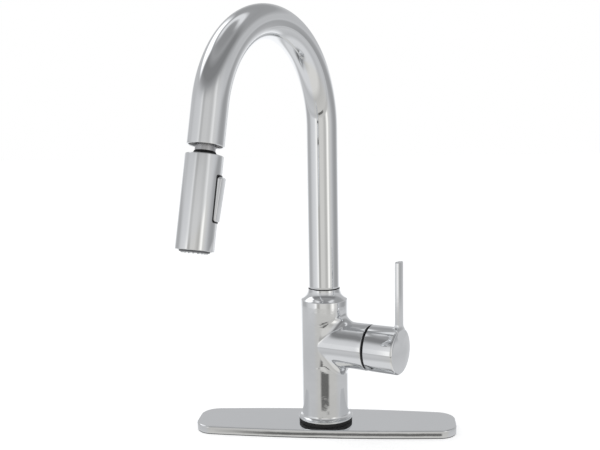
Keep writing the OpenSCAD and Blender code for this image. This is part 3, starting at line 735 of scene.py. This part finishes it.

# ---------- Hose ----------
# Its last length shows between spout and head when the head is drawn out.
# Here it belongs to no body and stays where it was built.

g = Fields("braid", {"Low": 2.0, "High": 32.6, "Radius": 5.5, "Bore": 3.4, "Relief": 0.28, "Strands": 16, "Turns": 3.0})
sheet, along, round_it = grid_fields(g, 181, 129)
wall = g.value("Radius") - g.value("Bore")
s, r = wall_section(along, g.value("High") - g.value("Low"), g.value("Radius"), wall)
s = s.op("MAXIMUM", 0).op("MINIMUM", g.value("High") - g.value("Low"))
height = s / (g.value("High") - g.value("Low"))
slant = height * (g.value("Turns") / g.value("Strands") * 2)
weave = (g.value("Strands") * math.pi * (round_it + slant)).op("SINE").op("ABSOLUTE")
cross = (g.value("Strands") * math.pi * (round_it - slant)).op("SINE").op("ABSOLUTE")
outside = clamped((r - g.value("Bore") - wall * 0.6) / (wall * 0.3))
r = r - outside * g.value("Relief") * (1 - weave.op("MAXIMUM", cross))
theta = round_it * (2 * math.pi)
braid_mesh = g.result(
    g.set_places(sheet, r * theta.op("COSINE"), r * theta.op("SINE"), g.value("Low") + s), FINISHES["hose_nylon"]
)
leader = add_mesh("hose_leader_braid", braid_mesh, HEAD, FINISHES["hose_nylon"], "spout", ["hose_leader"], 50)
leader.parent = None
del leader["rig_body"]
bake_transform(leader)

# ---------- Threaded shank ----------
# Brass pipe with a cut thread, screwed into the body, that the lock nut pulls down below the deck.

g = Fields("thread", {"Low": -62.0, "High": 30.0, "Radius": 16.5, "Bore": 14.3, "Pitch": 1.5, "Depth": 0.8})
sheet, along, round_it = grid_fields(g, 901, 65)
wall = g.value("Radius") - g.value("Bore")
s, r = wall_section(along, g.value("High") - g.value("Low"), g.value("Radius"), wall)
s = s.op("MAXIMUM", 0).op("MINIMUM", g.value("High") - g.value("Low"))
phase = ((s / g.value("Pitch")) - round_it).op("FRACT")
tooth = (phase - 0.5).op("ABSOLUTE") * 2
outside = clamped((r - g.value("Bore") - wall * 0.6) / (wall * 0.2))
cut_part = clamped((g.value("High") - g.value("Low") - 34 - s) / 1.5)
r = r - outside * cut_part * g.value("Depth") * tooth
theta = round_it * (2 * math.pi)
thread_mesh = g.result(
    g.set_places(sheet, r * theta.op("COSINE"), r * theta.op("SINE"), g.value("Low") + s), FINISHES["brass"]
)
add_mesh("threaded_shank_brass", thread_mesh, UPRIGHT, FINISHES["brass"], "base", ["threaded_shank"], 40)

# ---------- Stage, light and camera ----------
# A plain white floor in an even studio. The room's soft panels and dark gaps only show mirrored
# in the chrome.

floor_mesh = bpy.data.meshes.new("floor")
floor_mesh.from_pydata([(-6, -6, 0), (6, -6, 0), (6, 6, 0), (-6, 6, 0)], [], [(0, 1, 2, 3)])
floor_material = bpy.data.materials.new("floor_white")
floor_material.use_nodes = True
floor_shader = Shader(floor_material.node_tree)
floor_surface = floor_shader.add(
    "ShaderNodeBsdfPrincipled",
    Base_Color=(0.9, 0.9, 0.9, 1),
    Roughness=1.0,
    Emission_Color=(1, 1, 1, 1),
    Emission_Strength=0.62,
)
floor_shader.add("ShaderNodeOutputMaterial", Surface=floor_surface.outputs[0])
floor_mesh.materials.append(floor_material)
floor = bpy.data.objects.new("floor", floor_mesh)
floor.visible_glossy = False
bpy.context.scene.collection.objects.link(floor)

world = bpy.data.worlds.new("studio")
bpy.context.scene.world = world
world.use_nodes = True
studio = Shader(world.node_tree)
direction = studio.add("ShaderNodeSeparateXYZ", Vector=studio.add("ShaderNodeTexCoord").outputs["Generated"])
dx, dy, dz = (Num(studio.tree, direction.outputs[i]) for i in range(3))
azimuth = dx.op("ARCTAN2", dy * -1) * (180 / math.pi) - 4.3
height = dz.op("ARCSINE") * (180 / math.pi)
behind = dy.band(-0.1, 0.2)


def by_angle(name, where, low, high, stops):
    """Brightness that follows an angle through the given stops."""
    ramp = studio.add("ShaderNodeValToRGB", Fac=(where - low) / (high - low))
    ramp.label = name
    while len(ramp.color_ramp.elements) < len(stops):
        ramp.color_ramp.elements.new(1.0)
    for stop, (angle, grey) in zip(ramp.color_ramp.elements, stops):
        stop.position = (angle - low) / (high - low)
        stop.color = (grey, grey, grey, 1)
    return Num(studio.tree, ramp.outputs[0])


walls = by_angle("walls", azimuth, -180, 180, [
    (-180, 0.95), (-152, 0.9), (-128, 0.42), (-104, 0.42), (-84, 0.6), (-62, 0.68), (-52, 0.75),
    (-45, 0.95), (-41, 0.95),
    (-33, 0.38), (-26, 0.4), (-18, 0.62), (4, 0.62), (16, 0.5), (25, 0.46), (32, 0.7), (38, 1.0), (44, 1.0), (50, 0.65),
    (70, 0.54), (84, 0.4), (96, 0.34), (112, 0.33), (128, 0.42), (152, 0.9), (180, 0.95),
])
front_rise = by_angle("front rise", height, 0, 90, [
    (0, 0.6), (14, 0.6), (24, 0.52), (32, 0.36), (42, 0.22), (52, 0.22), (62, 0.33), (73, 0.28), (90, 0.28),
])
back_rise = by_angle("back rise", height, 0, 90, [
    (0, 0.6), (14, 0.5), (25, 0.5), (36, 0.34), (50, 0.32), (60, 0.34), (66, 0.75), (72, 0.75), (78, 0.34), (90, 0.28),
])
table = by_angle("table", height, -90, 0, [
    (-90, 0.5), (-70, 0.68), (-47, 0.68), (-36, 0.5), (-26, 0.54), (-20, 0.56), (-16, 0.5), (-10, 0.6), (0, 0.6),
])
above = back_rise * behind + front_rise * (1 - behind)
dark_spot = azimuth.bump_of(-2, 26) * height.bump_of(-17.6, 2.0)
table = table * (1 - dark_spot * 0.75) * (1 - behind * (height * -1).band(60, 75) * 0.8)
table = table + (0.95 - table) * azimuth.op("ABSOLUTE").band(132, 152) * (1 - (height * -1).band(26, 40))
up_share = height.band(4, 11) * (behind + (1 - behind) * 0.6) + height.band(26, 38) * (1 - behind) * 0.4
down_share = (height * -1).band(11.5, 13.5)
light = walls * (1 - up_share) * (1 - down_share) + above * up_share + table * down_share
key_panel = height.bump_of(44, 16) * azimuth.bump_of(-125, 40)
light = light + key_panel * 0.9
warm = azimuth.bump_of(8, 70) * (1 - up_share) - 0.35
hue = studio.add("ShaderNodeCombineColor", Red=light * (1 + warm * 0.02), Green=light, Blue=light * (1 - warm * 0.05))
glow = studio.add("ShaderNodeBackground", Color=hue.outputs[0], Strength=1.08)
plain = studio.add("ShaderNodeBackground", Color=(1, 1, 1, 1), Strength=1.0)
seen = studio.add("ShaderNodeLightPath").outputs["Is Camera Ray"]
mixed = studio.add("ShaderNodeMixShader", i0=seen, i1=glow.outputs[0], i2=plain.outputs[0])
studio.add("ShaderNodeOutputWorld", Surface=mixed.outputs[0])

bpy.context.scene.view_settings.view_transform = "Standard"
camera_data = bpy.data.cameras.new("camera")
camera_data.sensor_width = 36
camera_data.lens = 51.04
camera = bpy.data.objects.new("camera", camera_data)
bpy.context.scene.collection.objects.link(camera)
camera.location = (0.06433, -0.84936, 0.3191)
forward = Vector((-0.1021, 0.9869, -0.1249)).normalized()
up = Vector((0.0041, 0.126, 0.992))
right = forward.cross(up).normalized()
up = right.cross(forward)
camera.rotation_euler = Matrix((right, up, -forward)).transposed().to_euler()
bpy.context.scene.camera = camera
